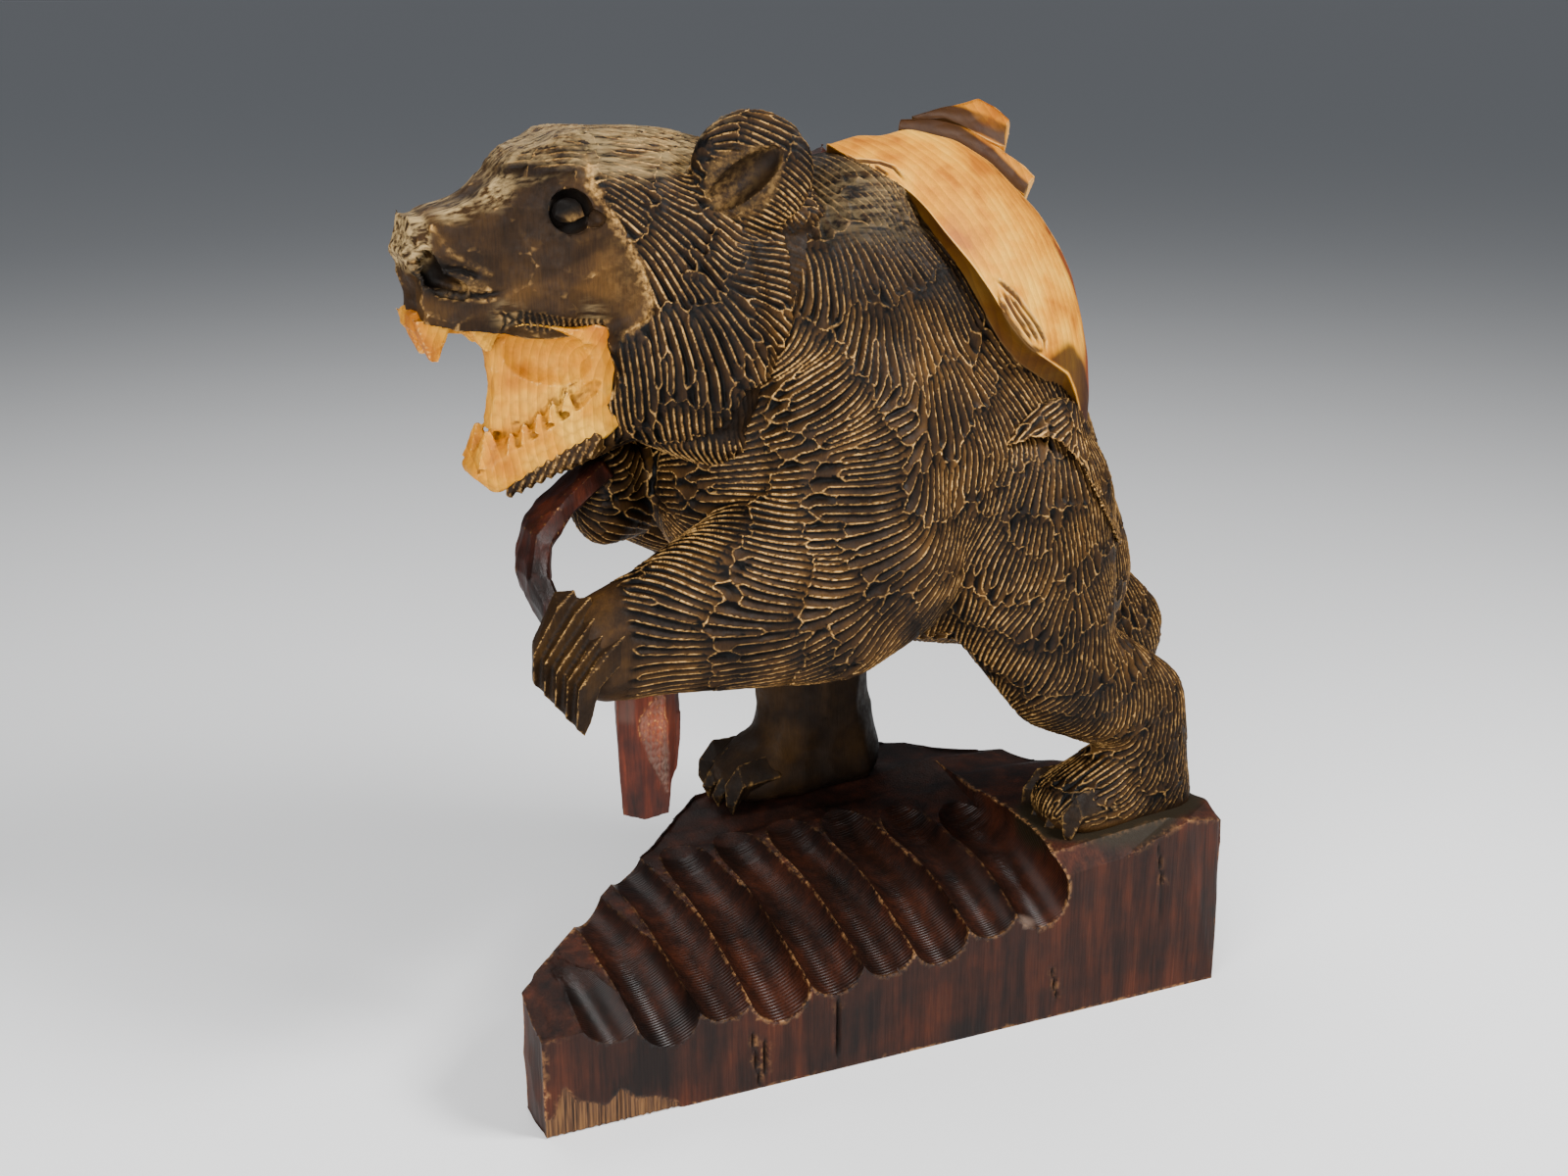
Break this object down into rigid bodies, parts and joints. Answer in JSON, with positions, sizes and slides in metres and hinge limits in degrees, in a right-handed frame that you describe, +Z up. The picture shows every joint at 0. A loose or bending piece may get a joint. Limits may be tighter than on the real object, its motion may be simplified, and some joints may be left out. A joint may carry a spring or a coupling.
{
  "type": "carved wooden bear figure",
  "caption": "Wooden carving of a roaring bear that walks on its hind legs with a salmon on its back, cut from one block with its fluted wedge-shaped plinth.",
  "frame": {"origin": "middle of the plinth's underside, on the surface that it stands on: halfway along its length and halfway across its depth", "axes": "+Z up; the bear faces -X; +Y points to its right side, and -Y to its left side, which is the plinth's straight face"},
  "size_m": [0.3908, 0.1653, 0.4303],
  "materials": {
    "stained_coat": "dark brown stain over gouge-cut fur, worn to bare wood along the crests, satin",
    "bare_wood": "bare honey-coloured wood, knife-cut, matt, with scorched brown spots",
    "strap_stain": "red-brown stain over knife facets, satin",
    "plinth_stain": "dark red-brown stain over upright grain and wide gouge flutes, satin, chipped pale at the foot"
  },
  "bodies": {
    "root": {"carved_bear": "stained_coat"}
  },
  "joints": []
}
